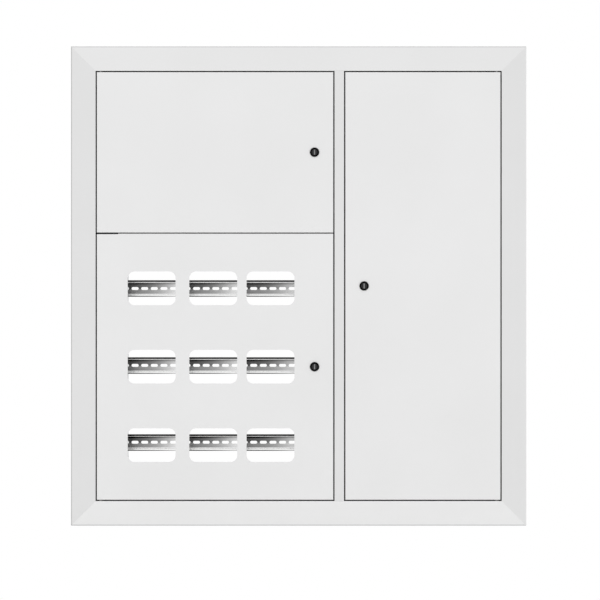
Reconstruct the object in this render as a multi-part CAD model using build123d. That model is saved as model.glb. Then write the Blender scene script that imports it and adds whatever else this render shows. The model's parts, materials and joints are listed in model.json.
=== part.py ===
from build123d import *
import os

# Floor distribution board, in millimetres.
# X runs right, Z runs up, the front faces -Y, and the rear plane lies at y = 0.

# Sheet metal, with the outside radius of the folds that show
sheet = 1.2
bend_radius = 1.2

# Sloping border round the opening
frame_width = 950.0
frame_height = 1000.0
frame_depth = 150.0
border = 53.0
border_drop = 12.0
border_edge = 10.0
jamb_depth = 19.0
stop_lip = 14.0

# Box behind the border
wall_offset = 14.0
rear_return = 25.0
fixing_hole_radius = 4.5
fixing_hole_z = 400.0
cable_cut_depth = 50.0
cable_cut_y = -36.0
power_cable_cut = 320.0
signal_cable_cut = 200.0

# Doors
door_gap = 2.5
middle_gap = 2.2
mullion_width = 20.0
left_door_width = 491.5
meter_door_height = 333.5
door_return = 18.5
hinge_return = 12.0

# Hinges
pivot_inset = 7.5
pivot_setback = 6.0
pin_radius = 2.5
pin_clearance = 0.1
pin_reach = 1.0
pivot_plate = 2.0
pivot_plate_width = 24.0
pivot_plate_depth = 10.5
pivot_plate_gap = 0.5
bracket_thickness = 2.5
bracket_clearance = 0.5
bracket_setback = 1.5
bracket_length = 46.0
relief_clearance = 0.9
bracket_depth = 30.0

# Locks
lock_inset = 39.0
lock_face_radius = 9.7
lock_face = 2.5
neck_width = 14.4
neck_chamfer = 1.6
neck_length = 18.0
hole_play = 0.1
plug_radius = 5.9
plug_clearance = 0.08
key_slot_width = 2.6
key_slot_length = 10.4
key_slot_depth = 1.0
clip_width = 24.0
clip_height = 23.0
clip_thickness = 1.5
cam_clearance = 1.3
cam_thickness = 2.0
cam_width = 14.0
cam_reach = 36.0
cam_chamfer = 3.0
cam_square = 7.0
cam_screw_across = 10.0
cam_screw_head = 2.6

# Windows in the breaker door
window_width = 99.5
window_height = 70.0
window_radius = 14.0
first_window = 114.0
window_step_left = 128.0
window_step_right = 119.0
window_row_margin = 113.65

# Mounting rails, set out on the sight lines of a viewer in front of the board
view_distance = 3000.0
rail_setback = 55.0
rail_height = 35.0
rail_inner = 25.0
rail_depth = 7.5
rail_sheet = 1.0
rail_end_gap = 0.7
rail_end_lap = 6.0
slot_length = 15.0
slot_height = 6.2
slot_point = 1.6
slot_step = 20.4
slot_count = 6
first_slot = -56.2

# Uprights, shelf and partition
upright_width = 17.0
upright_depth = 20.0
upright_cover = 1.5
shelf_flange = 20.0
shelf_rear = -62.0
partition_return = 25.0

# Meter panel and busbars
panel_thickness = 1.5
panel_margin = 24.0
panel_side = 18.0
meter_places = 3
meter_slot_length = 30.0
meter_slot_width = 6.0
meter_slot_spread = 90.0
meter_slot_rise = 95.0
bar_thickness = 8.0
bar_height = 11.0
bar_overhang = 10.0
neutral_bar_rise = 66.0
earth_bar_rise = 33.0
bar_support_width = 17.0
bar_support_height = 16.0
bar_support_depth = 20.0

# Planes that follow from the sizes above
front = -frame_depth
door_back = front + sheet
stop_front = front + jamb_depth
stop_back = stop_front + sheet
flange_back = stop_back + sheet
half_width = frame_width / 2
half_height = frame_height / 2
open_x = half_width - border
open_z = half_height - border
lip_x = open_x - stop_lip
lip_z = open_z - stop_lip
wall_in_x = open_x + wall_offset
wall_in_z = open_z + wall_offset
wall_out_x = wall_in_x + sheet
wall_out_z = wall_in_z + sheet
fixing_hole_x = wall_out_x - rear_return / 2

# Door edges
left_edge = -open_x + door_gap
left_door_end = left_edge + left_door_width
mullion_left = left_door_end + door_gap
mullion_right = mullion_left + mullion_width
right_door_start = mullion_right + door_gap
right_edge = open_x - door_gap
door_top = open_z - door_gap
door_bottom = -door_top
meter_bottom = door_top - meter_door_height
breaker_top = meter_bottom - middle_gap
breaker_middle = (breaker_top + door_bottom) / 2
meter_middle = (door_top + meter_bottom) / 2

# Hinge lines
left_pivot = left_edge + pivot_inset
right_pivot = right_edge - pivot_inset
pivot_y = front + pivot_setback
bracket_top = meter_bottom - bracket_clearance
bracket_bottom = bracket_top - bracket_thickness
relief_top = bracket_bottom - bracket_clearance
bracket_end = -open_x + bracket_length

# Partition and shelf
partition_left = mullion_left + sheet
partition_right = partition_left + sheet
shelf_bottom = bracket_top
shelf_top = shelf_bottom + sheet

# Windows, rails and uprights
window_x = [left_edge + first_window]
for step in (window_step_left, window_step_right):
    window_x.append(window_x[-1] + step)
window_z = [breaker_top - window_row_margin, breaker_middle, door_bottom + window_row_margin]
rail_front = front + rail_setback
rail_back = rail_front + rail_depth
sight = 1 + rail_setback / view_distance
hidden_edge = window_width / 2 + upright_cover
upright_x = [(window_x[0] - hidden_edge) * sight - upright_width / 2]
for left_window, right_window in zip(window_x, window_x[1:]):
    upright_x.append((left_window + right_window) / 2 * sight)
upright_x.append((window_x[-1] + hidden_edge) * sight + upright_width / 2)
upright_back = rail_back + upright_depth


def shifted(points, distance):
    """The path moved to its left by a distance, with mitred corners."""
    moved = []
    lines = []
    for (ax, ay), (bx, by) in zip(points, points[1:]):
        length = ((bx - ax) ** 2 + (by - ay) ** 2) ** 0.5
        ux = (bx - ax) / length
        uy = (by - ay) / length
        lines.append((ax - uy * distance, ay + ux * distance, ux, uy))
    moved.append(lines[0][:2])
    for (ax, ay, ux, uy), (bx, by, vx, vy) in zip(lines, lines[1:]):
        along = ((bx - ax) * vy - (by - ay) * vx) / (ux * vy - uy * vx)
        moved.append((ax + ux * along, ay + uy * along))
    ex, ey = points[-1]
    ux, uy = lines[-1][2:]
    moved.append((ex - uy * distance, ey + ux * distance))
    return moved


def sharp_fold(points, thickness=sheet):
    """Section of a sheet folded along a path, with the metal on the path's left."""
    return make_face(Polyline(*points, *reversed(shifted(points, thickness)), close=True))


def round_fold(points, corners):
    """The same section with some of its left-hand corners bent to an outside radius."""
    section = sharp_fold(points)
    for index in corners:
        outside = section.vertices().sort_by_distance((*points[index], 0))[0]
        section = fillet(outside, bend_radius)
    return section


def block(x0, x1, y0, y1, z0, z1):
    """A box between six planes."""
    size = Box(x1 - x0, y1 - y0, z1 - z0)
    return Pos((x0 + x1) / 2, (y0 + y1) / 2, (z0 + z1) / 2) * size


def rod_y(x, z, y0, y1, radius):
    """A round bar along Y."""
    return Pos(x, (y0 + y1) / 2, z) * Rot(90, 0, 0) * Cylinder(radius, y1 - y0)


def rod_z(x, y, z0, z1, radius):
    """A round bar along Z."""
    return Pos(x, y, (z0 + z1) / 2) * Cylinder(radius, z1 - z0)


def through_y(sketch, x, y, z, reach):
    """A flat outline at x and z, made into a cutter that runs both ways along Y."""
    return extrude(Plane((x, y, z), x_dir=(1, 0, 0), z_dir=(0, -1, 0)) * sketch, reach, both=True)


def along_x(face, x0, x1):
    """A section drawn in Y and Z, drawn out from x0 to x1."""
    return Pos(x0, 0, 0) * extrude(Plane.YZ * face, x1 - x0)


def all_round(right, top):
    """Four members from one for the right and one for the top."""
    left = Rot(0, 180, 0) * right
    bottom = Rot(0, 180, 0) * top
    return {"right": right, "left": left, "top": top, "bottom": bottom}


def frame_member(reach, half_length):
    """One mitred side of the border, lying at +X and running along Z."""
    inner = reach - border
    tip = inner - stop_lip
    section = round_fold([
        (tip, stop_front),
        (inner, stop_front),
        (inner, front),
        (reach, front + border_drop),
        (reach, front + border_drop + border_edge),
    ], [2, 3])
    bar = extrude(section, half_length, both=True)
    short = half_length - border - stop_lip
    mitre = Polyline((reach, -half_length), (reach, half_length), (tip, short), (tip, -short), close=True)
    return bar & through_y(make_face(mitre), 0, 0, 0, 2 * frame_depth)


def wall(tip, reach, half_length, front_end, rear_end):
    """One wall of the box, lying at +X and running along Z, its flanges cut short at both ends."""
    section = sharp_fold([
        (tip, stop_back),
        (reach, stop_back),
        (reach, 0),
        (reach - rear_return, 0),
    ])
    bar = extrude(section, half_length, both=True)
    inside = reach - sheet
    middle = stop_back / 2
    for side in (1, -1):
        far = side * 2 * half_length
        for end, y0, y1 in ((front_end, front, middle), (rear_end, middle, frame_depth)):
            low, high = sorted((side * end, far))
            bar -= block(0, inside, y0, y1, low, high)
    return bar


def door_tray(x0, x1, z0, z1, hinge_sign):
    """A folded tray, shallower along the hinge side and open there for the pivot plates."""
    back = front + door_return
    tray = block(x0, x1, front, back, z0, z1)
    tray = fillet(tray.faces().sort_by(Axis.Y)[0].edges(), bend_radius)
    tray -= block(x0 + sheet, x1 - sheet, door_back, back + sheet, z0 + sheet, z1 - sheet)
    hinge_edge = x0 if hinge_sign < 0 else x1
    past_edge = hinge_edge + hinge_sign * sheet
    low, high = sorted((past_edge, hinge_edge - hinge_sign * pivot_inset))
    tray -= block(low, high, front + hinge_return, back + sheet, z0 - sheet, z1 + sheet)
    low, high = sorted((past_edge, hinge_edge - hinge_sign * (pivot_plate_width + pivot_plate_gap)))
    for z in (z0, z1):
        tray -= block(low, high, door_back, back + sheet, z - sheet, z + sheet)
    return tray


def pivot_plates(hinge_edge, hinge_sign, tops):
    """Small plates in the hinge corners, bored for the pins."""
    inner = hinge_edge - hinge_sign * sheet
    outer = hinge_edge - hinge_sign * pivot_plate_width
    low, high = sorted((inner, outer))
    pivot = hinge_edge - hinge_sign * pivot_inset
    plates = []
    for top in tops:
        plate = block(low, high, door_back, door_back + pivot_plate_depth, top - pivot_plate, top)
        plate -= rod_z(pivot, pivot_y, top - 2 * pivot_plate, top + pivot_plate, pin_radius + pin_clearance)
        plates.append(plate)
    return plates


def lock_neck(x, z, y0, y1, width):
    """A square bar along Y with its corners cut, which can't turn in its hole."""
    outline = chamfer(Rectangle(width, width).vertices(), neck_chamfer)
    return through_y(outline, x, (y0 + y1) / 2, z, (y1 - y0) / 2)


def hexagon(x, z, y0, y1, across):
    """A six-sided bar along Y."""
    outline = RegularPolygon(across / 2, 6, major_radius=False)
    return through_y(outline, x, (y0 + y1) / 2, z, (y1 - y0) / 2)


def lock_parts(x, z):
    """Housing, clip, plug, cam and cam screw of one lock, with the cam hanging down."""
    face = front - lock_face
    neck_end = front + neck_length
    disc = rod_y(x, z, face, front, lock_face_radius)
    housing = disc + lock_neck(x, z, front, neck_end, neck_width)
    housing -= rod_y(x, z, face - sheet, neck_end + sheet, plug_radius + plug_clearance)

    half_clip = clip_width / 2
    half_neck = neck_width / 2
    clip_back = door_back + clip_thickness
    clip_foot = z - clip_height / 2
    clip = block(x - half_clip, x + half_clip, door_back, clip_back, clip_foot, clip_foot + clip_height)
    clip -= block(x - half_neck, x + half_neck, front, clip_back + sheet, clip_foot - sheet, z + half_neck)

    cam_front = stop_back + cam_clearance
    cam_back = cam_front + cam_thickness
    half_square = cam_square / 2
    plug = rod_y(x, z, face, cam_front, plug_radius)
    plug += block(x - half_square, x + half_square, cam_front, cam_back, z - half_square, z + half_square)
    half_slot = key_slot_width / 2
    half_key = key_slot_length / 2
    slot_floor = face + key_slot_depth
    plug -= block(x - half_slot, x + half_slot, face - sheet, slot_floor, z - half_key, z + half_key)

    top_end = cam_width / 2
    outline = Rectangle(cam_width, cam_reach + top_end)
    outline = chamfer(outline.vertices().sort_by(Axis.Y)[:2], cam_chamfer)
    outline = Pos(0, (top_end - cam_reach) / 2) * outline
    outline -= Rectangle(cam_square, cam_square)
    cam = through_y(outline, x, (cam_front + cam_back) / 2, z, cam_thickness / 2)

    screw = hexagon(x, z, cam_back, cam_back + cam_screw_head, cam_screw_across)
    return {"housing": housing, "clip": clip, "plug": plug, "cam": cam, "cam_screw": screw}


def upright(x, z0, z1):
    """A channel standing between two levels, open at the back."""
    half = upright_width / 2
    section = sharp_fold([
        (x - half, upright_back),
        (x - half, rail_back),
        (x + half, rail_back),
        (x + half, upright_back),
    ])
    return Pos(0, 0, z0) * extrude(section, z1 - z0)


def pointed_slot():
    """Outline of a rail's slot, with blunt points for its round ends."""
    tip = slot_length / 2
    shoulder = tip - slot_point
    half = slot_height / 2
    upper = [(tip, 0), (shoulder, half), (-shoulder, half)]
    lower = [(-tip, 0), (-shoulder, -half), (shoulder, -half)]
    return make_face(Polyline(*upper, *lower, close=True))


def mounting_rail(x0, x1, z, slot_start):
    """A slotted top-hat rail from x0 to x1."""
    half = rail_height / 2
    inner = rail_inner / 2
    web = rail_back - rail_sheet
    section = sharp_fold([
        (rail_front, half),
        (rail_front, inner),
        (web, inner),
        (web, -inner),
        (rail_front, -inner),
        (rail_front, -half),
    ], rail_sheet)
    rail = Pos(0, 0, z) * along_x(section, x0, x1)
    hole = pointed_slot()
    for index in range(slot_count):
        rail -= through_y(hole, slot_start + index * slot_step, rail_back, z, 2 * rail_sheet)
    return rail


parts = {}

# Border
right_member = frame_member(half_width, half_height)
top_member = Rot(0, -90, 0) * frame_member(half_height, half_width)
for name, member in all_round(right_member, top_member).items():
    parts["border_" + name] = member

# Mullion between the left and right doors
mullion_section = round_fold([
    (mullion_left - stop_lip, stop_front),
    (mullion_left, stop_front),
    (mullion_left, front),
    (mullion_right, front),
    (mullion_right, stop_front),
    (mullion_right + stop_lip, stop_front),
], [2, 3])
mullion = extrude(mullion_section, open_z, both=True)
for sign in (1, -1):
    low, high = sorted((sign * lip_z, sign * half_height))
    mullion -= block(-half_width, half_width, stop_front, 0, low, high)
parts["mullion"] = mullion

# Box walls, the sides running past the top and bottom
side = wall(lip_x, wall_out_x, wall_out_z, wall_in_z, wall_in_z)
cap = Rot(0, -90, 0) * wall(lip_z, wall_out_z, wall_in_x, lip_x, wall_out_x - rear_return)
walls = all_round(side, cap)
power_middle = (partition_left - wall_in_x) / 2
signal_middle = (partition_right + wall_in_x) / 2
for name in ("top", "bottom"):
    level = wall_in_z if name == "top" else -wall_in_z
    for middle, length in ((power_middle, power_cable_cut), (signal_middle, signal_cable_cut)):
        walls[name] -= Pos(middle, cable_cut_y, level) * Box(length, cable_cut_depth, 4 * sheet)
for name, sign in (("left", -1), ("right", 1)):
    for z in (fixing_hole_z, -fixing_hole_z):
        walls[name] -= rod_y(sign * fixing_hole_x, z, -2 * sheet, sheet, fixing_hole_radius)
for name, panel in walls.items():
    parts["wall_" + name] = panel

# Partition between the power side and the signal side
partition_section = sharp_fold([
    (partition_left + partition_return, 0),
    (partition_left, 0),
    (partition_left, door_back),
])
partition = extrude(partition_section, wall_in_z, both=True)
for sign in (1, -1):
    low, high = sorted((sign * lip_z, sign * half_height))
    partition -= block(0, half_width, front, flange_back, low, high)
    low, high = sorted((sign * (wall_out_z - rear_return), sign * half_height))
    partition -= block(0, half_width, -sheet, sheet, low, high)
parts["partition"] = partition

# Shelf between the meters and the breakers, its front flange a stop for both doors
shelf_section = sharp_fold([
    (shelf_rear, shelf_top),
    (stop_front, shelf_top),
    (stop_front, shelf_bottom - shelf_flange),
])
shelf = along_x(shelf_section, -wall_in_x, partition_left)
flange_foot = shelf_bottom - 2 * shelf_flange
flange_end = mullion_left - stop_lip
shelf -= block(-half_width, bracket_end + bracket_clearance, front, 0, flange_foot, shelf_bottom)
shelf -= block(flange_end, half_width, front, 0, flange_foot, shelf_bottom)
shelf -= block(flange_end, half_width, front, stop_back, shelf_bottom - sheet, shelf_top + sheet)
shelf -= block(-half_width, -lip_x, front, flange_back, shelf_bottom - sheet, shelf_top + sheet)
parts["divider_shelf"] = shelf

# Bracket between the two left doors
bracket_front = front + bracket_setback
bracket_back = stop_front + bracket_depth
bracket_outline = Polyline(
    (-open_x, bracket_front),
    (bracket_end, bracket_front),
    (bracket_end, bracket_back),
    (-lip_x, bracket_back),
    (-lip_x, stop_front),
    (-open_x, stop_front),
    close=True,
)
parts["hinge_bracket"] = Pos(0, 0, bracket_bottom) * extrude(make_face(bracket_outline), bracket_thickness)

# Hinge pins, welded to the border and to both sides of the bracket
pin_depth = pivot_plate + pin_reach
pins = [
    rod_z(left_pivot, pivot_y, bracket_top, meter_bottom + pin_depth, pin_radius),
    rod_z(left_pivot, pivot_y, relief_top - pin_depth, bracket_bottom, pin_radius),
]
for pivot in (left_pivot, right_pivot):
    pins.append(rod_z(pivot, pivot_y, door_top - pin_depth, open_z, pin_radius))
    pins.append(rod_z(pivot, pivot_y, -open_z, door_bottom + pin_depth, pin_radius))
parts["hinge_pins"] = Compound(pins)

# Doors
meter_door = door_tray(left_edge, left_door_end, meter_bottom, door_top, -1)
breaker_door = door_tray(left_edge, left_door_end, door_bottom, breaker_top, -1)
signal_door = door_tray(right_door_start, right_edge, door_bottom, door_top, 1)
relief_end = bracket_end + relief_clearance
breaker_door -= block(-half_width, relief_end, front - sheet, 0, relief_top, breaker_top + sheet)
window = RectangleRounded(window_width, window_height, window_radius)
for x in window_x:
    for z in window_z:
        breaker_door -= through_y(window, x, front, z, 2 * sheet)
doors = {
    "meter": (meter_door, left_door_end - lock_inset, meter_middle),
    "breaker": (breaker_door, left_door_end - lock_inset, breaker_middle),
    "signal": (signal_door, right_door_start + lock_inset, 0.0),
}
hinges = {
    "meter": (left_edge, -1, door_top, meter_bottom + pivot_plate),
    "breaker": (left_edge, -1, relief_top, door_bottom + pivot_plate),
    "signal": (right_edge, 1, door_top, door_bottom + pivot_plate),
}
for name, (tray, lock_x, lock_z) in doors.items():
    edge, hinge_sign, upper_plate, lower_plate = hinges[name]
    lock_hole = lock_neck(lock_x, lock_z, front - sheet, door_back + sheet, neck_width + 2 * hole_play)
    parts[name + "_door"] = tray - lock_hole
    parts[name + "_pivot_plates"] = Compound(pivot_plates(edge, hinge_sign, (upper_plate, lower_plate)))
    for piece, solid in lock_parts(lock_x, lock_z).items():
        parts[name + "_lock_" + piece] = solid

# Uprights behind the door's webs, and the short rails across them
for number, x in enumerate(upright_x, start=1):
    parts[f"rail_upright_{number}"] = upright(x, -wall_in_z, shelf_bottom)
last = len(window_x) - 1
for row, z in enumerate(window_z):
    for column, x in enumerate(window_x):
        start = upright_x[column] + rail_end_gap
        end = upright_x[column + 1] - rail_end_gap
        if column == 0:
            start = upright_x[0] - rail_end_lap
        if column == last:
            end = upright_x[-1] + rail_end_lap
        rail = mounting_rail(start, end, z, x * sight + first_slot)
        parts[f"rail_r{row + 1}_c{column + 1}"] = rail

# Meter panel on two uprights of its own
for side_name, x in (("left", upright_x[0]), ("right", upright_x[-1])):
    parts["meter_upright_" + side_name] = upright(x, shelf_top, wall_in_z)
panel_left = upright_x[0] - panel_side
panel_right = upright_x[-1] + panel_side
panel_low = shelf_top + panel_margin
panel_high = lip_z - panel_margin / 2
meter_panel = block(panel_left, panel_right, rail_back - panel_thickness, rail_back, panel_low, panel_high)
place_step = (panel_right - panel_left) / meter_places
panel_middle = (panel_low + panel_high) / 2
meter_slot = Rectangle(meter_slot_width, meter_slot_length)
for place in range(meter_places):
    centre = panel_left + place_step / 2 + place * place_step
    holes = [(centre, panel_middle + meter_slot_rise)]
    for sign in (1, -1):
        holes.append((centre + sign * meter_slot_spread / 2, panel_middle - meter_slot_rise))
    for x, z in holes:
        meter_panel -= through_y(meter_slot, x, rail_back, z, 2 * panel_thickness)
parts["meter_panel"] = meter_panel

# Neutral and earth bars under the lowest row, on stand-offs from two uprights
bar_left = upright_x[0] - bar_overhang
bar_right = upright_x[2] + bar_overhang
bar_back = rail_back - bar_support_depth
for name, rise in (("neutral", neutral_bar_rise), ("earth", earth_bar_rise)):
    z = rise - wall_in_z
    half = bar_height / 2
    bar_front = bar_back - bar_thickness
    parts[name + "_bar"] = block(bar_left, bar_right, bar_front, bar_back, z - half, z + half)
    supports = []
    for x in (upright_x[0], upright_x[2]):
        reach = bar_support_width / 2
        tall = bar_support_height / 2
        supports.append(block(x - reach, x + reach, bar_back, rail_back, z - tall, z + tall))
    parts[name + "_bar_supports"] = Compound(supports)

os.makedirs("parts", exist_ok=True)
for name, solid in parts.items():
    export_step(solid, f"parts/{name}.step")
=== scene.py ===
import json
import math
from itertools import product
import bmesh
import bpy
from mathutils import Matrix, Vector


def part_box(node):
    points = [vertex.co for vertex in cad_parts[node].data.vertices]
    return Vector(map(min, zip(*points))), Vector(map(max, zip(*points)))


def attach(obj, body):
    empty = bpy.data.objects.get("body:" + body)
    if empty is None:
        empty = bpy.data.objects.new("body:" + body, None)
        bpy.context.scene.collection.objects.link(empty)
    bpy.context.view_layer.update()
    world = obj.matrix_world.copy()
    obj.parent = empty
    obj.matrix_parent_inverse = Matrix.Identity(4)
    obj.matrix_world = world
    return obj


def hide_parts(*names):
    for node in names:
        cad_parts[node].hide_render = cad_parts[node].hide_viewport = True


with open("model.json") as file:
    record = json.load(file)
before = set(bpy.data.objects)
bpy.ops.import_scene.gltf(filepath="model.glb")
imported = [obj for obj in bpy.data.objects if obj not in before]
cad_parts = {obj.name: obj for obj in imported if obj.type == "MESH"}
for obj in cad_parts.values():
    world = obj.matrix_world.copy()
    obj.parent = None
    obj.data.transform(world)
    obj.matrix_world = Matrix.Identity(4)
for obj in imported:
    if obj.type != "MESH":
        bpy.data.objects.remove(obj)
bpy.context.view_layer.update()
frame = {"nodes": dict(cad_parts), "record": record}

MM = 0.001
DOORS = ("meter", "breaker", "signal")
FORWARD = (0, -1, 0)
BACKWARD = (0, 1, 0)
RIGHTWARD = (1, 0, 0)

# Greys of the photograph, as 8-bit display values
DOOR_GREY = 232
# The mullion has the doors' paint; its darker grey is painted shade
MULLION_SHADE_GREY = 225

# Border members: outward axis and direction, grey of the slope (painted shade and light), grey of the
# line along the outer fold (painted shade and highlight)
# One paint throughout: the slopes of the stiles are darker and the bottom slope lighter, as painted
# shade and light
BORDER_SHADING = {
    "left": ("X", -1, 226, 186),
    "right": ("X", 1, 226, 230),
    "top": ("Z", 1, 232, 208),
    "bottom": ("Z", -1, 235, 190),
}

# Where the painted line along the outer fold starts and where it is full, inwards from the outer edge:
# painted shade on the left, top and bottom, a painted highlight on the right
RIM_START = 2.8 * MM
RIM_FULL = 1.2 * MM

# Painted reflection and shade of a rail in bands from its lower edge up: the share of the height where
# each ends, its grey at both ends
RAIL_REFLECTION_BANDS = (
    (0.06, 70, 235),
    (0.178, 255, 255),
    (0.47, 136, 255),
    (0.75, 84, 245),
    (0.842, 0, 205),
    (0.893, 255, 250),
    (1.0, 0, 40),
)

# Half the blend between two painted bands, and how late along a rail the greys of its right end come in
BAND_BLEND = 0.006
RAIL_BIAS = 3.0

# Paint: its share of the written grey, and its darker and cooler clouds as shares of that
PAINT_SHARE = 0.985
CLOUD_DARK = 0.975
CLOUD_COOL = 1.002

# Darker mottling of metal and lighter grain of plastic, as shares of the colour
METAL_DARK = 0.82
GRAIN_LIGHT = 1.25

# Noise stays mostly between these two values
NOISE_LOW = 0.3
NOISE_HIGH = 0.7

# How a pattern is drawn out along X: not at all, in drawn brass, in rolled zinc
EVEN = (1.0, 1.0, 1.0)
DRAWN = (0.04, 1.0, 1.0)
ROLLED = (0.03, 1.0, 1.0)

# Meshes: edges sharper than this stay sharp, points closer than this are one, digits of joined boxes
SHARP_ANGLE = math.radians(30.0)
MERGE_DISTANCE = 1e-7
GRID_DIGITS = 7

# Sides of turned forms: screws and washers, rivets and threads, lock housings
SCREW_SIDES = 24
SMALL_SIDES = 20
HOUSING_SIDES = 64

# Folded sheet of the board, and its stop lips
SHEET = 1.2 * MM
STOP_LIP = 14.0 * MM

# Key shutters: half sizes, and how far front and back lie behind the face of the plug
SHUTTER_HALF_WIDTH = 1.15 * MM
SHUTTER_HALF_LENGTH = 5.1 * MM
SHUTTER_FRONT = 0.25 * MM
SHUTTER_BACK = 0.95 * MM
WARD_HALF_WIDTH = 0.2 * MM

# Rubber seals, black so that they also stand in for the shade in the door gaps, and the room that they
# leave at the door faces, the pins and the bracket
SEAL = 0.35 * MM
FACE_ROOM = 1.5 * MM
PIN_ROOM = 3.2 * MM
BRACKET_ROOM = 1.0 * MM
SHELF_ROOM = 2.0 * MM

# Rails: sheet, clear width of the channel, bend radius at the middle of the sheet, slots
RAIL_SHEET = 1.0 * MM
RAIL_INNER = 25.0 * MM
RAIL_BEND = 0.55 * MM
BEND_STEPS = 6
SLOT_LENGTH = 15.0 * MM
SLOT_HEIGHT = 6.2 * MM
SLOT_STEP = 20.4 * MM
SLOT_END_STEPS = 10
FIRST_SLOT = -56.2 * MM
SLOT_COUNT = 6

# Lock housings: chamfers of rim and bore, play of the plug, square neck, reach of the drill beyond them
RIM_CHAMFER = 0.8 * MM
BORE_CHAMFER = 0.3 * MM
BORE_PLAY = 0.08 * MM
NECK_WIDTH = 14.4 * MM
NECK_CUT = 1.6 * MM
OVERRUN = 1.0 * MM

# Rivets of the rails: inset from the ends, rise from the middle, flat on top as a share of the radius
RIVET_RADIUS = 2.4 * MM
RIVET_HEIGHT = 1.1 * MM
RIVET_INSET = 4.0 * MM
RIVET_RISE = 7.6 * MM
RIVET_FLAT = 0.08
RIVET_STEPS = 5

# Cheese heads: shares of the height at the bevel and the slot's floor, share of the radius on top
HEAD_BEVEL = 0.85
HEAD_SLOT_FLOOR = 0.45
HEAD_TOP = 0.88

# Screws and washers of the meter panel
PANEL_HEAD_RADIUS = 4.2 * MM
PANEL_HEAD_HEIGHT = 2.6 * MM
PANEL_HEAD_SLOT = 1.0 * MM
PANEL_WASHER_RADIUS = 5.6 * MM
PANEL_WASHER = 0.8 * MM
PANEL_SCREW_MARGIN = 14.0 * MM

# Terminal screws of the bars, and the hexagon screws that hold the bars
TERMINAL_RADIUS = 3.2 * MM
TERMINAL_HEIGHT = 3.0 * MM
TERMINAL_SLOT = 0.9 * MM
TERMINAL_STEP = 18.0 * MM
TERMINAL_MARGIN = 34.0 * MM
BAR_SCREW_FLATS = 8.0 * MM
BAR_SCREW_HEIGHT = 3.2 * MM
BAR_SCREW_INSET = 10.0 * MM

# Earth studs: thread, washer, nut, inset from the edges, and the depth of the one on the wall
STUD_LENGTH = 14.0 * MM
STUD_RADIUS = 3.0 * MM
STUD_PITCH = 1.0 * MM
STUD_THREAD = 0.35 * MM
STUD_TIP = 0.4 * MM
STUD_TIP_CHAMFER = 0.6 * MM
STUD_WASHER_RADIUS = 6.4 * MM
STUD_WASHER = 1.2 * MM
STUD_NUT_FLATS = 10.0 * MM
STUD_NUT_TOP_FLATS = 9.3 * MM
STUD_NUT_BEVEL = 5.6 * MM
STUD_NUT_TOP = 6.1 * MM
STUD_INSET = 36.0 * MM
WALL_STUD_Y = -60.0 * MM

# Floor: its level, half its width, and the share of that over which it fades
FLOOR_Z = -0.95
FLOOR_REACH = 1.15
FLOOR_FADE = 0.55

# Light of the studio: its strength at the front, and its shares of that at the sides and the rear
FRONT_LIGHT = 1.38
SIDE_SHARE = 0.22
REAR_SHARE = 1.0

# Camera: its place, its distance from the door faces, and the width that it sees there
CAMERA_X = 2.8 * MM
CAMERA_Z = -29.2 * MM
VIEW_DISTANCE = 3.0
VIEW_WIDTH = 1.2468
SENSOR_WIDTH = 36.0

# Places taken from the frame: door faces, jambs, half the opening, the hinge pins, jambs of the mullion
bracket_low, bracket_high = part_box("hinge_bracket")
mullion_low, mullion_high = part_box("mullion")
pins_low, pins_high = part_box("hinge_pins")
door_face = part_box("meter_door")[0][1]
jamb_front = door_face + FACE_ROOM
jamb_back = mullion_high[1] - SHEET
open_x = -bracket_low[0]
open_z = pins_high[2]
pin_x = (pins_high[0] - pins_low[0]) / 2 - (pins_high[1] - pins_low[1]) / 2
mullion_left = mullion_low[0] + STOP_LIP
mullion_right = mullion_high[0] - STOP_LIP

# Middle of the window in front of each rail
rails = {}
for mount in frame["record"]["mounts"]:
    if mount["name"].startswith("rail_r"):
        rails[mount["name"]] = mount["pos_m"][0]


# Parts of materials

def linear(grey):
    """An 8-bit display grey as a linear value, by the sRGB curve."""
    share = grey / 255
    if share <= 0.04045:
        return share / 12.92
    return ((share + 0.055) / 1.055) ** 2.4


def new_material(name, metallic, roughness):
    """A material with its node tree and main shader."""
    made = bpy.data.materials.new(name)
    made.use_nodes = True
    shader = made.node_tree.nodes["Principled BSDF"]
    shader.inputs["Metallic"].default_value = metallic
    shader.inputs["Roughness"].default_value = roughness
    return made, made.node_tree, shader


def object_place(tree, stretch=EVEN):
    """The point on the object in metres, squeezed or drawn out along its axes."""
    place = tree.nodes.new("ShaderNodeTexCoord")
    mapping = tree.nodes.new("ShaderNodeMapping")
    mapping.inputs["Scale"].default_value = stretch
    tree.links.new(place.outputs["Object"], mapping.inputs["Vector"])
    return mapping.outputs["Vector"]


def separate(tree, place):
    """A point's X, Y and Z, by name."""
    made = tree.nodes.new("ShaderNodeSeparateXYZ")
    tree.links.new(place, made.inputs["Vector"])
    return made.outputs


def noise(tree, scale, detail=2.0, stretch=EVEN):
    """Soft noise fixed to the object."""
    made = tree.nodes.new("ShaderNodeTexNoise")
    made.inputs["Scale"].default_value = scale
    made.inputs["Detail"].default_value = detail
    tree.links.new(object_place(tree, stretch), made.inputs["Vector"])
    return made.outputs["Fac"]


def ramp(tree, factor, stops):
    """A colour that runs through stops of place and colour as the factor rises."""
    made = tree.nodes.new("ShaderNodeValToRGB")
    elements = made.color_ramp.elements
    elements[0].position = stops[0][0]
    elements[0].color = (*stops[0][1], 1.0)
    elements[1].position = stops[-1][0]
    elements[1].color = (*stops[-1][1], 1.0)
    for place, colour in stops[1:-1]:
        elements.new(place).color = (*colour, 1.0)
    tree.links.new(factor, made.inputs["Fac"])
    return made.outputs["Color"]


def shade(tree, factor, first, second):
    """A colour that goes from the first to the second over the usual range of noise."""
    return ramp(tree, factor, [(NOISE_LOW, first), (NOISE_HIGH, second)])


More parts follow.
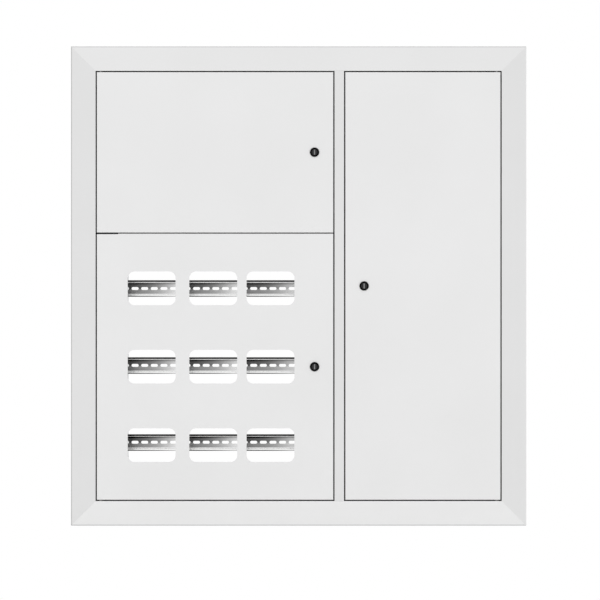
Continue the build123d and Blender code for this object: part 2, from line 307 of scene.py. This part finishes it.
def spread(tree, factor, low, high):
    """A number that goes from low to high over the usual range of noise."""
    made = tree.nodes.new("ShaderNodeMapRange")
    made.inputs["From Min"].default_value = NOISE_LOW
    made.inputs["From Max"].default_value = NOISE_HIGH
    made.inputs["To Min"].default_value = low
    made.inputs["To Max"].default_value = high
    tree.links.new(factor, made.inputs["Value"])
    return made.outputs["Result"]


def mixed(tree, factor, first, second):
    """A colour that goes from the first to the second as the factor goes from 0 to 1."""
    made = tree.nodes.new("ShaderNodeMix")
    made.data_type = "RGBA"
    tree.links.new(factor, made.inputs["Factor"])
    colours = [socket for socket in made.inputs if socket.type == "RGBA"]
    tree.links.new(first, colours[0])
    tree.links.new(second, colours[1])
    results = [socket for socket in made.outputs if socket.type == "RGBA"]
    return results[0]


def bump(tree, shader, height, depth, strength):
    """Relief of a given depth in metres."""
    made = tree.nodes.new("ShaderNodeBump")
    made.inputs["Strength"].default_value = strength
    made.inputs["Distance"].default_value = depth
    tree.links.new(height, made.inputs["Height"])
    tree.links.new(made.outputs["Normal"], shader.inputs["Normal"])


def clouded(tree, grey):
    """A paint's grey with faint cloudiness."""
    tone = linear(grey) * PAINT_SHARE
    return shade(tree, noise(tree, scale=5.0), (tone * CLOUD_DARK,) * 3, (tone, tone, tone * CLOUD_COOL))


# Materials

def satin_coat(name):
    """A material with the sheen and the fine orange peel of powder coat, still without a colour."""
    made, tree, shader = new_material(name, metallic=0.0, roughness=0.42)
    sheen = spread(tree, noise(tree, scale=900.0), low=0.36, high=0.48)
    tree.links.new(sheen, shader.inputs["Roughness"])
    bump(tree, shader, noise(tree, scale=650.0, detail=1.0), depth=0.05 * MM, strength=0.5)
    return made, tree, shader


def powder_coat(name, grey):
    """Powder coat of one grey."""
    made, tree, shader = satin_coat(name)
    tree.links.new(clouded(tree, grey), shader.inputs["Base Color"])
    return made


def shaded_border_paint(side):
    """Powder coat of a border member, its slope grey with painted shade, and a thin line of another grey
    along its outer fold as painted shade and highlight.
    """
    axis, outward, grey, painted_rim_grey = BORDER_SHADING[side]
    made, tree, shader = satin_coat("powder_coat_" + side)
    low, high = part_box("border_" + side)
    outer_corner = high if outward > 0 else low
    edge = outer_corner["XYZ".index(axis)]
    # Painted shade along the outer fold, and a painted highlight on the right member
    rim = tree.nodes.new("ShaderNodeMapRange")
    rim.inputs["From Min"].default_value = edge - outward * RIM_START
    rim.inputs["From Max"].default_value = edge - outward * RIM_FULL
    tree.links.new(separate(tree, object_place(tree))[axis], rim.inputs["Value"])
    colour = mixed(tree, rim.outputs["Result"], clouded(tree, grey), clouded(tree, painted_rim_grey))
    tree.links.new(colour, shader.inputs["Base Color"])
    return made


def plated_metal(name, colour, roughness, scale=500.0, stretch=EVEN, depth=0.01 * MM):
    """Bare or plated metal with fine lines or mottling."""
    made, tree, shader = new_material(name, metallic=1.0, roughness=roughness)
    pattern = noise(tree, scale, detail=4.0, stretch=stretch)
    darker = tuple(METAL_DARK * channel for channel in colour)
    tree.links.new(shade(tree, pattern, darker, colour), shader.inputs["Base Color"])
    sheen = spread(tree, pattern, low=roughness - 0.08, high=roughness + 0.1)
    tree.links.new(sheen, shader.inputs["Roughness"])
    bump(tree, shader, pattern, depth, strength=0.4)
    return made


def galvanised_sheet(name):
    """Hot-dip zinc with its crystal spangle."""
    made, tree, shader = new_material(name, metallic=1.0, roughness=0.4)
    cells = tree.nodes.new("ShaderNodeTexVoronoi")
    cells.inputs["Scale"].default_value = 110.0
    tree.links.new(object_place(tree), cells.inputs["Vector"])
    chance = tree.nodes.new("ShaderNodeSeparateColor")
    tree.links.new(cells.outputs["Color"], chance.inputs["Color"])
    tones = [(0.0, (0.44, 0.45, 0.46)), (1.0, (0.62, 0.63, 0.64))]
    tree.links.new(ramp(tree, chance.outputs["Red"], tones), shader.inputs["Base Color"])
    sheen = spread(tree, chance.outputs["Green"], low=0.32, high=0.5)
    tree.links.new(sheen, shader.inputs["Roughness"])
    bump(tree, shader, noise(tree, scale=240.0), depth=0.02 * MM, strength=0.5)
    return made


def moulded_plastic(name, colour, roughness, gloss=0.5):
    """Moulded plastic or rubber with a fine eroded texture."""
    made, tree, shader = new_material(name, metallic=0.0, roughness=roughness)
    shader.inputs["Specular IOR Level"].default_value = gloss
    lighter = tuple(GRAIN_LIGHT * channel for channel in colour)
    grain = noise(tree, scale=1500.0, detail=3.0)
    tree.links.new(shade(tree, grain, colour, lighter), shader.inputs["Base Color"])
    bump(tree, shader, noise(tree, scale=3000.0), depth=0.02 * MM, strength=0.6)
    return made


def band_stops(end):
    """Ramp stops of the painted reflection and shade for one end of a rail, 0 left and 1 right, with a
    narrow blend from band to band.
    """
    stops = []
    start = 0.0
    for top, *greys in RAIL_REFLECTION_BANDS:
        tone = (linear(greys[end]),) * 3
        stops.append((start + BAND_BLEND, tone))
        stops.append((top - BAND_BLEND, tone))
        start = top
    return stops


def rail_zinc_painted_reflection(name):
    """Zinc of a rail with painted reflection and shade in bright and dark level bands, darker towards
    its left end and its upper half.
    """
    made, tree, shader = new_material(name, metallic=1.0, roughness=0.3)
    place = tree.nodes.new("ShaderNodeTexCoord")
    shares = separate(tree, place.outputs["Generated"])
    bias = tree.nodes.new("ShaderNodeMath")
    bias.operation = "POWER"
    bias.inputs[1].default_value = RAIL_BIAS
    tree.links.new(shares["X"], bias.inputs[0])
    # The bands and their darkening towards the left end are painted reflection and shade
    left, right = [ramp(tree, shares["Z"], band_stops(end)) for end in (0, 1)]
    tree.links.new(mixed(tree, bias.outputs["Value"], left, right), shader.inputs["Base Color"])
    lines = noise(tree, scale=400.0, detail=3.0, stretch=ROLLED)
    tree.links.new(spread(tree, lines, low=0.26, high=0.36), shader.inputs["Roughness"])
    bump(tree, shader, lines, depth=0.002 * MM, strength=0.3)
    return made


def floor_paint(name):
    """Matt pale paint that turns clear towards the edge of the floor."""
    made, tree, shader = new_material(name, metallic=0.0, roughness=0.7)
    tint = shade(tree, noise(tree, scale=2.0), (0.9, 0.9, 0.89), (0.93, 0.93, 0.92))
    tree.links.new(tint, shader.inputs["Base Color"])
    fade = tree.nodes.new("ShaderNodeTexGradient")
    fade.gradient_type = "SPHERICAL"
    tree.links.new(object_place(tree, (1 / FLOOR_REACH,) * 3), fade.inputs["Vector"])
    cover = tree.nodes.new("ShaderNodeMapRange")
    cover.interpolation_type = "SMOOTHSTEP"
    cover.inputs["From Max"].default_value = FLOOR_FADE
    tree.links.new(fade.outputs["Fac"], cover.inputs["Value"])
    tree.links.new(cover.outputs["Result"], shader.inputs["Alpha"])
    return made


paint = powder_coat("powder_coat", DOOR_GREY)
# Border paints, with painted shade and highlight on their slopes and outer folds
shaded_border_paints = {"border_" + side: shaded_border_paint(side) for side in BORDER_SHADING}
# The doors' paint, made darker for the mullion as painted shade
mullion_shaded_paint = powder_coat("powder_coat_mullion_shaded", MULLION_SHADE_GREY)
galvanised = galvanised_sheet("galvanised_sheet")
zinc = plated_metal("zinc_plate", (0.62, 0.62, 0.6), roughness=0.34)
dark_steel = plated_metal("black_oxide_steel", (0.02, 0.02, 0.022), roughness=0.45)
brass = plated_metal("drawn_brass", (0.78, 0.57, 0.25), 0.3, scale=600.0, stretch=DRAWN, depth=0.02 * MM)
pin_steel = plated_metal("pin_steel", (0.3, 0.3, 0.3), roughness=0.34)
key_steel = plated_metal("key_steel", (0.34, 0.34, 0.345), roughness=0.4, scale=900.0)
# Rail zinc with painted reflection and shade
rail_reflection_metal = rail_zinc_painted_reflection("rail_zinc_painted_reflection")
lock_black = moulded_plastic("lock_black", (0.003, 0.003, 0.0033), roughness=0.4, gloss=0.06)
plug_black = moulded_plastic("plug_black", (0.02, 0.02, 0.021), roughness=0.32, gloss=0.15)
blue_insulator = moulded_plastic("blue_insulator", (0.02, 0.09, 0.34), roughness=0.35)
# Black rubber of the seals, also the painted shade in the door gaps
gap_shade_rubber = moulded_plastic("seal_rubber_gap_shade", (0.006, 0.006, 0.006), roughness=0.9, gloss=0.04)


def finish_of(name):
    """The material of a CAD node, by its name."""
    if name in shaded_border_paints:
        return shaded_border_paints[name]
    if name == "mullion":
        return mullion_shaded_paint
    if name.startswith("rail_r"):
        return rail_reflection_metal
    if name.endswith("_lock_housing"):
        return lock_black
    if name.endswith("_lock_plug"):
        return plug_black
    if name in ("neutral_bar", "earth_bar"):
        return brass
    if name == "neutral_bar_supports":
        return blue_insulator
    if name == "hinge_bracket":
        return dark_steel
    if name == "hinge_pins":
        return pin_steel
    if "upright" in name or name == "meter_panel":
        return galvanised
    if name.endswith("_door") or name.startswith("wall_") or name in ("partition", "divider_shelf"):
        return paint
    return zinc


# Parts of meshes

def add_piece(name, bm, body, finish):
    """A mesh piece that rides on a body."""
    bmesh.ops.remove_doubles(bm, verts=bm.verts, dist=MERGE_DISTANCE)
    bmesh.ops.recalc_face_normals(bm, faces=bm.faces)
    mesh = bpy.data.meshes.new(name)
    bm.to_mesh(mesh)
    bm.free()
    mesh.materials.append(finish)
    mesh.shade_smooth()
    mesh.set_sharp_from_angle(angle=SHARP_ANGLE)
    piece = bpy.data.objects.new(name, mesh)
    bpy.context.scene.collection.objects.link(piece)
    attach(piece, body)
    return piece


def add_box(bm, low, high):
    """A box between two opposite corners."""
    made = bmesh.ops.create_cube(bm, size=1.0)
    size = Vector(high) - Vector(low)
    middle = (Vector(high) + Vector(low)) / 2
    matrix = Matrix.Translation(middle) @ Matrix.Diagonal((*size, 1.0))
    bmesh.ops.transform(bm, matrix=matrix, verts=made["verts"])


def facing(place, direction):
    """A frame at a place whose Z axis points in a direction."""
    turn = Vector((0, 0, 1)).rotation_difference(Vector(direction)).to_matrix().to_4x4()
    return Matrix.Translation(place) @ turn


def ring_points(radius, sides):
    """Corners of a regular polygon of a given radius."""
    turns = [2 * math.pi * side / sides for side in range(sides)]
    return [(radius * math.cos(turn), radius * math.sin(turn)) for turn in turns]


def hexagon(across):
    """Corners of a hexagon of a given size across its flats."""
    return ring_points(across / 2 / math.cos(math.pi / 6), 6)


def add_loft(bm, matrix, sections):
    """A closed form through flat outlines at rising levels, all with as many points."""
    rings = []
    for outline, level in sections:
        rings.append([bm.verts.new(matrix @ Vector((x, y, level))) for x, y in outline])
    for lower, upper in zip(rings, rings[1:]):
        count = len(lower)
        for index in range(count):
            after = (index + 1) % count
            bm.faces.new((lower[index], lower[after], upper[after], upper[index]))
    bm.faces.new(list(reversed(rings[0])))
    bm.faces.new(rings[-1])


def add_prism(bm, matrix, outline, bottom, top):
    """A flat outline drawn out along Z between two levels."""
    add_loft(bm, matrix, [(outline, bottom), (outline, top)])


def add_turned(bm, matrix, profile, sides):
    """A turned form from a profile of radius and height."""
    add_loft(bm, matrix, [(ring_points(radius, sides), height) for radius, height in profile])


def add_copy(bm, shape, matrix):
    """A copy of another mesh, placed by a frame."""
    placed = {corner: bm.verts.new(matrix @ corner.co) for corner in shape.verts}
    for face in shape.faces:
        bm.faces.new([placed[corner] for corner in face.verts])


def scratch_object(bm):
    """A mesh object that is used while another one is made."""
    mesh = bpy.data.meshes.new("scratch")
    bmesh.ops.recalc_face_normals(bm, faces=bm.faces)
    bm.to_mesh(mesh)
    bm.free()
    made = bpy.data.objects.new("scratch", mesh)
    bpy.context.scene.collection.objects.link(made)
    return made


def combine(base, steps):
    """A mesh made from a base by joining further meshes to it or cutting them from it, in turn."""
    body = scratch_object(base)
    helpers = []
    for operation, bm in steps:
        helper = scratch_object(bm)
        change = body.modifiers.new(operation, "BOOLEAN")
        change.operation = operation
        change.object = helper
        helpers.append(helper)
    graph = bpy.context.evaluated_depsgraph_get()
    mesh = bpy.data.meshes.new_from_object(body.evaluated_get(graph))
    made = bmesh.new()
    made.from_mesh(mesh)
    bpy.data.meshes.remove(mesh)
    # A mesh that is removed takes its object with it
    for used in (body, *helpers):
        bpy.data.meshes.remove(used.data)
    return made


def add_cell_side(bm, levels, cell, axis, step):
    """The lower or upper side of a grid cell along an axis."""
    side = []
    for first, second in ((0, 0), (1, 0), (1, 1), (0, 1)):
        place = list(cell)
        place[axis] += step
        place[(axis + 1) % 3] += first
        place[(axis + 2) % 3] += second
        side.append(bm.verts.new([levels[n][place[n]] for n in range(3)]))
    bm.faces.new(side)


def joined_boxes(boxes):
    """Mesh of the outside of boxes grown together, each given by two opposite corners."""
    exact = [[tuple(round(value, GRID_DIGITS) for value in corner) for corner in box] for box in boxes]
    levels = [sorted({corner[axis] for box in exact for corner in box}) for axis in range(3)]
    filled = set()
    for box in exact:
        spans = []
        for axis in range(3):
            spans.append(range(*sorted(levels[axis].index(corner[axis]) for corner in box)))
        filled.update(product(*spans))
    bm = bmesh.new()
    for cell in sorted(filled):
        for axis, step in product(range(3), (0, 1)):
            beyond = list(cell)
            beyond[axis] += 2 * step - 1
            if tuple(beyond) not in filled:
                add_cell_side(bm, levels, cell, axis, step)
    return bm


# Key shutters

def add_key_shutter(door):
    """The shutter in the slot of a lock, in two leaves with a ward line between them."""
    low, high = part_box(door + "_lock_plug")
    middle = (Vector(low) + Vector(high)) / 2
    shutter = bmesh.new()
    for side in (1, -1):
        inner = middle.x + side * WARD_HALF_WIDTH
        outer = middle.x + side * SHUTTER_HALF_WIDTH
        leaf_low = (min(inner, outer), low[1] + SHUTTER_FRONT, middle.z - SHUTTER_HALF_LENGTH)
        leaf_high = (max(inner, outer), low[1] + SHUTTER_BACK, middle.z + SHUTTER_HALF_LENGTH)
        add_box(shutter, leaf_low, leaf_high)
    add_piece(door + "_key_shutter", shutter, door + "_lock", key_steel)


# Rubber seals on the stop lips and jambs, whose black also stands in for the shade in the door gaps

def side_seals():
    """Boxes of the seals on the left and right jambs and lips, with room for the bracket on the left."""
    below_bracket = bracket_low[2] - BRACKET_ROOM
    above_bracket = bracket_high[2] + BRACKET_ROOM
    runs = [(-1, -open_z, below_bracket), (-1, above_bracket, open_z), (1, -open_z, open_z)]
    boxes = []
    for side, bottom, top in runs:
        corner = (side * open_x, jamb_back, bottom)
        boxes.append((corner, (side * (open_x - SEAL), jamb_front, top)))
        boxes.append((corner, (side * (open_x - STOP_LIP), jamb_back - SEAL, top)))
    return boxes


def level_seals():
    """Boxes of the seals on the top and bottom jambs and lips, with room for the pins on the jambs."""
    left_span = (-open_x, mullion_left, -pin_x)
    right_span = (mullion_right, open_x, pin_x)
    boxes = []
    for side, (start, end, pin) in product((1, -1), (left_span, right_span)):
        edge = side * open_z
        for run_start, run_end in ((start, pin - PIN_ROOM), (pin + PIN_ROOM, end)):
            boxes.append(((run_start, jamb_back, edge), (run_end, jamb_front, edge - side * SEAL)))
        boxes.append(((start, jamb_back, edge), (end, jamb_back - SEAL, edge - side * STOP_LIP)))
    return boxes


def mullion_seals():
    """Boxes of the seals on both jambs and lips of the mullion."""
    boxes = []
    for edge, side in ((mullion_left, -1), (mullion_right, 1)):
        boxes.append(((edge, jamb_back, -open_z), (edge + side * SEAL, jamb_front, open_z)))
        lip_start = (edge, jamb_back, STOP_LIP - open_z)
        boxes.append((lip_start, (edge + side * STOP_LIP, jamb_back - SEAL, open_z - STOP_LIP)))
    return boxes


def shelf_seals():
    """Box of the seal on the front of the shelf, from the bracket to the mullion."""
    low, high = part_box("divider_shelf")
    start = (bracket_high[0] + SHELF_ROOM, jamb_back, low[2])
    return [(start, (mullion_left - STOP_LIP, jamb_back - SEAL, high[2]))]


def add_seals():
    """All seals as one piece, black to darken the door gaps as painted shade."""
    seals = joined_boxes(side_seals() + level_seals() + mullion_seals() + shelf_seals())
    add_piece("door_seals", seals, "enclosure", gap_shade_rubber)


# Rails with bent folds and round-ended slots

def bent_strip(points, thickness, radius):
    """Outline of a strip that follows a path with right-angled bends of a given radius."""
    path = [Vector(point) for point in points]
    left = []
    right = []

    def step_on(place, heading):
        """Both edges of the strip at a place on its path."""
        across = Vector((-heading.y, heading.x)) * thickness / 2
        left.append(place + across)
        right.append(place - across)

    step_on(path[0], (path[1] - path[0]).normalized())
    for before, corner, after in zip(path, path[1:], path[2:]):
        come = (corner - before).normalized()
        leave = (after - corner).normalized()
        centre = corner + radius * (leave - come)
        for step in range(BEND_STEPS + 1):
            angle = math.pi / 2 * step / BEND_STEPS
            place = centre + radius * (come * math.sin(angle) - leave * math.cos(angle))
            step_on(place, come * math.cos(angle) + leave * math.sin(angle))
    step_on(path[-1], (path[-1] - path[-2]).normalized())
    return left + right[::-1]


def round_slot(length, height):
    """Outline of a slot with round ends."""
    radius = height / 2
    outline = []
    for side, turn in ((1, -math.pi / 2), (-1, math.pi / 2)):
        for step in range(SLOT_END_STEPS + 1):
            angle = turn + math.pi * step / SLOT_END_STEPS
            x = side * (length / 2 - radius) + radius * math.cos(angle)
            outline.append((x, radius * math.sin(angle)))
    return outline


def formed_rail(low, high, slot_places):
    """Mesh of a slotted top-hat rail that fills a box."""
    middle = (low[2] + high[2]) / 2
    flange_y = low[1] + RAIL_SHEET / 2
    web_y = high[1] - RAIL_SHEET / 2
    fold = (RAIL_INNER + RAIL_SHEET) / 2
    upper = [(flange_y, high[2]), (flange_y, middle + fold), (web_y, middle + fold)]
    lower = [(web_y, middle - fold), (flange_y, middle - fold), (flange_y, low[2])]
    along_x = Matrix(((0, 0, 1, 0), (1, 0, 0, 0), (0, 1, 0, 0), (0, 0, 0, 1)))
    bar = bmesh.new()
    add_prism(bar, along_x, bent_strip(upper + lower, RAIL_SHEET, RAIL_BEND), low[0], high[0])
    cutter = bmesh.new()
    for x in slot_places:
        matrix = facing((x, web_y, middle), FORWARD)
        add_prism(cutter, matrix, round_slot(SLOT_LENGTH, SLOT_HEIGHT), -RAIL_SHEET, RAIL_SHEET)
    return combine(bar, [("DIFFERENCE", cutter)])


def add_rail(name, window_x):
    """A rail in place of the plainer one, its slots set out from the middle of its window."""
    low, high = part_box(name)
    places = [window_x + FIRST_SLOT + index * SLOT_STEP for index in range(SLOT_COUNT)]
    rail = formed_rail(low, high, places)
    piece = add_piece("formed_" + name, rail, "enclosure", rail_reflection_metal)
    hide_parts(name)


# Lock housings with chamfered rims

def cut_square(width, cut):
    """Corners of a square whose own corners are cut off."""
    far = width / 2
    near = far - cut
    right = [(far, -near), (far, near), (near, far), (-near, far)]
    return right + [(-x, -y) for x, y in right]


def formed_housing(centre, radius, rise, depth, bore):
    """Mesh of a lock housing: a disc with a bevelled rim on a square neck, bored through."""
    matrix = facing(centre, FORWARD)
    disc = bmesh.new()
    rim = [(radius, 0.0), (radius, rise - RIM_CHAMFER), (radius - RIM_CHAMFER, rise)]
    add_turned(disc, matrix, rim, HOUSING_SIDES)
    neck = bmesh.new()
    add_prism(neck, matrix, cut_square(NECK_WIDTH, NECK_CUT), -depth, rise / 2)
    hole = bmesh.new()
    mouth = (bore + BORE_CHAMFER + OVERRUN, rise + OVERRUN)
    drill = [(bore, -depth - OVERRUN), (bore, rise - BORE_CHAMFER), mouth]
    add_turned(hole, matrix, drill, HOUSING_SIDES)
    return combine(disc, [("UNION", neck), ("DIFFERENCE", hole)])


def add_housing(door):
    """The housing of a lock in place of the plainer one."""
    name = door + "_lock_housing"
    low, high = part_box(name)
    plug_low, plug_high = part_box(door + "_lock_plug")
    centre = ((low[0] + high[0]) / 2, door_face, (low[2] + high[2]) / 2)
    radius = (high[0] - low[0]) / 2
    bore = (plug_high[0] - plug_low[0]) / 2 + BORE_PLAY
    housing = formed_housing(centre, radius, door_face - low[1], high[1] - door_face, bore)
    piece = add_piece("formed_" + name, housing, door + "_door", lock_black)
    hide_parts(name)


# Small fasteners

def add_rivet(bm, matrix):
    """A domed rivet head."""
    profile = []
    for step in range(RIVET_STEPS):
        angle = math.pi / 2 * step / RIVET_STEPS
        profile.append((RIVET_RADIUS * math.cos(angle), RIVET_HEIGHT * math.sin(angle)))
    profile.append((RIVET_FLAT * RIVET_RADIUS, RIVET_HEIGHT))
    add_turned(bm, matrix, profile, SMALL_SIDES)


def add_rail_rivets():
    """Rivets that hold the ends of the rails to the uprights."""
    rivets = bmesh.new()
    for name in rails:
        low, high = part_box(name)
        web_front = high[1] - RAIL_SHEET
        middle = (low[2] + high[2]) / 2
        for x in (low[0] + RIVET_INSET, high[0] - RIVET_INSET):
            for rise in (RIVET_RISE, -RIVET_RISE):
                add_rivet(rivets, facing((x, web_front, middle + rise), FORWARD))
    add_piece("rail_rivets", rivets, "enclosure", zinc)


def slotted_head(radius, height, slot):
    """Mesh of a cheese-head screw with a bevelled rim and a driver slot across it."""
    head = bmesh.new()
    rim = [(radius, 0.0), (radius, HEAD_BEVEL * height), (HEAD_TOP * radius, height)]
    add_turned(head, Matrix.Identity(4), rim, SCREW_SIDES)
    cutter = bmesh.new()
    slot_low = (-slot / 2, -2 * radius, HEAD_SLOT_FLOOR * height)
    slot_high = (slot / 2, 2 * radius, 2 * height)
    add_box(cutter, slot_low, slot_high)
    return combine(head, [("DIFFERENCE", cutter)])


def add_panel_screws():
    """Screws on washers that hold the meter panel to its uprights."""
    screws = bmesh.new()
    head = slotted_head(PANEL_HEAD_RADIUS, PANEL_HEAD_HEIGHT, PANEL_HEAD_SLOT)
    washer = [(PANEL_WASHER_RADIUS, 0.0), (PANEL_WASHER_RADIUS, PANEL_WASHER)]
    panel_low, panel_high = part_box("meter_panel")
    middle = (panel_low[2] + panel_high[2]) / 2
    for upright in ("meter_upright_left", "meter_upright_right"):
        low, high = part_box(upright)
        x = (low[0] + high[0]) / 2
        for z in (panel_low[2] + PANEL_SCREW_MARGIN, middle, panel_high[2] - PANEL_SCREW_MARGIN):
            matrix = facing((x, panel_low[1], z), FORWARD)
            add_turned(screws, matrix, washer, SCREW_SIDES)
            add_copy(screws, head, matrix @ Matrix.Translation((0, 0, PANEL_WASHER)))
    head.free()
    add_piece("panel_screws", screws, "enclosure", zinc)


def add_terminal_screws():
    """Terminal screws along both bars, and the hexagon screws that hold the bars."""
    screws = bmesh.new()
    head = slotted_head(TERMINAL_RADIUS, TERMINAL_HEIGHT, TERMINAL_SLOT)
    for bar in ("neutral_bar", "earth_bar"):
        low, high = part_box(bar)
        middle = (low[2] + high[2]) / 2
        count = int((high[0] - low[0] - 2 * TERMINAL_MARGIN) / TERMINAL_STEP)
        start = (low[0] + high[0] - count * TERMINAL_STEP) / 2
        for index in range(count + 1):
            add_copy(screws, head, facing((start + index * TERMINAL_STEP, low[1], middle), FORWARD))
        for x in (low[0] + BAR_SCREW_INSET, high[0] - BAR_SCREW_INSET):
            matrix = facing((x, low[1], middle), FORWARD)
            add_prism(screws, matrix, hexagon(BAR_SCREW_FLATS), 0.0, BAR_SCREW_HEIGHT)
    head.free()
    add_piece("terminal_screws", screws, "enclosure", zinc)


def stud_profile():
    """Profile of the ridged thread above the nut, with a chamfered tip."""
    profile = []
    height = STUD_NUT_TOP
    while height < STUD_LENGTH:
        profile.append((STUD_RADIUS - STUD_THREAD, height))
        profile.append((STUD_RADIUS, height + STUD_PITCH / 2))
        height += STUD_PITCH
    profile.append((STUD_RADIUS - STUD_TIP_CHAMFER, STUD_LENGTH + STUD_TIP))
    return profile


def add_earth_stud(name, body, place, direction):
    """A welded earth stud with a washer, a nut and a ridged thread."""
    stud = bmesh.new()
    matrix = facing(place, direction)
    washer = [(STUD_WASHER_RADIUS, 0.0), (STUD_WASHER_RADIUS, STUD_WASHER)]
    flats = hexagon(STUD_NUT_FLATS)
    bevel = hexagon(STUD_NUT_TOP_FLATS)
    add_turned(stud, matrix, washer, SCREW_SIDES)
    add_loft(stud, matrix, [(flats, STUD_WASHER), (flats, STUD_NUT_BEVEL), (bevel, STUD_NUT_TOP)])
    add_turned(stud, matrix, stud_profile(), SMALL_SIDES)
    add_piece(name, stud, body, zinc)


def add_door_stud(door):
    """The earth stud inside a door, low on its hinge side."""
    low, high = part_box(door + "_door")
    x = high[0] - STUD_INSET if door == "signal" else low[0] + STUD_INSET
    place = (x, low[1] + SHEET, low[2] + STUD_INSET)
    add_earth_stud(door + "_earth_stud", door + "_door", place, BACKWARD)


def add_wall_stud():
    """The earth stud inside the left wall."""
    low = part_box("wall_left")[0]
    place = (low[0] + SHEET, WALL_STUD_Y, low[2] + STUD_INSET)
    add_earth_stud("box_earth_stud", "enclosure", place, RIGHTWARD)


# Floor, light and camera

def add_floor():
    """A pale floor below the board, which fades out towards its edge."""
    mesh = bpy.data.meshes.new("floor")
    signs = ((-1, -1), (1, -1), (1, 1), (-1, 1))
    corners = [(x * FLOOR_REACH, y * FLOOR_REACH, 0.0) for x, y in signs]
    mesh.from_pydata(corners, [], [(0, 1, 2, 3)])
    mesh.materials.append(floor_paint("pale_floor"))
    floor = bpy.data.objects.new("floor", mesh)
    floor.location = (0.0, 0.0, FLOOR_Z)
    bpy.context.scene.collection.objects.link(floor)


def background_shows(tree):
    """1 for a ray that shows the background, directly or in a shine, and 0 for one that brings light."""
    rays = tree.nodes.new("ShaderNodeLightPath")
    shows = rays.outputs["Is Camera Ray"]
    for other in ("Is Glossy Ray", "Is Transmission Ray"):
        either = tree.nodes.new("ShaderNodeMath")
        either.operation = "MAXIMUM"
        tree.links.new(shows, either.inputs[0])
        tree.links.new(rays.outputs[other], either.inputs[1])
        shows = either.outputs["Value"]
    return shows


def add_studio():
    """Soft light from the front and the rear, weaker from the sides, with a plain white background."""
    world = bpy.data.worlds.new("studio")
    bpy.context.scene.world = world
    world.use_nodes = True
    tree = world.node_tree
    light = tree.nodes["Background"]
    light.inputs["Strength"].default_value = FRONT_LIGHT
    direction = tree.nodes.new("ShaderNodeTexCoord")
    level = tree.nodes.new("ShaderNodeMapRange")
    level.inputs["From Min"].default_value = -1.0
    tree.links.new(separate(tree, direction.outputs["Generated"])["Y"], level.inputs["Value"])
    shares = [(0.0, (1.0, 1.0, 1.0)), (0.5, (SIDE_SHARE,) * 3), (1.0, (REAR_SHARE,) * 3)]
    tree.links.new(ramp(tree, level.outputs["Result"], shares), light.inputs["Color"])
    backdrop = tree.nodes.new("ShaderNodeBackground")
    backdrop.inputs["Color"].default_value = (1.0, 1.0, 1.0, 1.0)
    backdrop.inputs["Strength"].default_value = 1.0
    choice = tree.nodes.new("ShaderNodeMixShader")
    tree.links.new(background_shows(tree), choice.inputs["Fac"])
    tree.links.new(light.outputs["Background"], choice.inputs[1])
    tree.links.new(backdrop.outputs["Background"], choice.inputs[2])
    tree.links.new(choice.outputs["Shader"], tree.nodes["World Output"].inputs["Surface"])


def add_camera():
    """A camera straight in front, as in the photograph."""
    data = bpy.data.cameras.new("camera")
    data.sensor_width = SENSOR_WIDTH
    data.lens = SENSOR_WIDTH * VIEW_DISTANCE / VIEW_WIDTH
    camera = bpy.data.objects.new("camera", data)
    camera.location = (CAMERA_X, door_face - VIEW_DISTANCE, CAMERA_Z)
    camera.rotation_euler = (math.pi / 2, 0.0, 0.0)
    bpy.context.scene.collection.objects.link(camera)
    bpy.context.scene.camera = camera


# The board: a finish for each node, then the pieces around them
for name, node in frame["nodes"].items():
    node.data.materials.clear()
    node.data.materials.append(finish_of(name))
for door in DOORS:
    add_key_shutter(door)
add_seals()
for name, window_x in rails.items():
    add_rail(name, window_x)
for door in DOORS:
    add_housing(door)
add_rail_rivets()
add_panel_screws()
add_terminal_screws()
for door in DOORS:
    add_door_stud(door)
add_wall_stud()

# The scene around it
add_floor()
add_studio()
add_camera()
bpy.context.scene.view_settings.view_transform = "Standard"
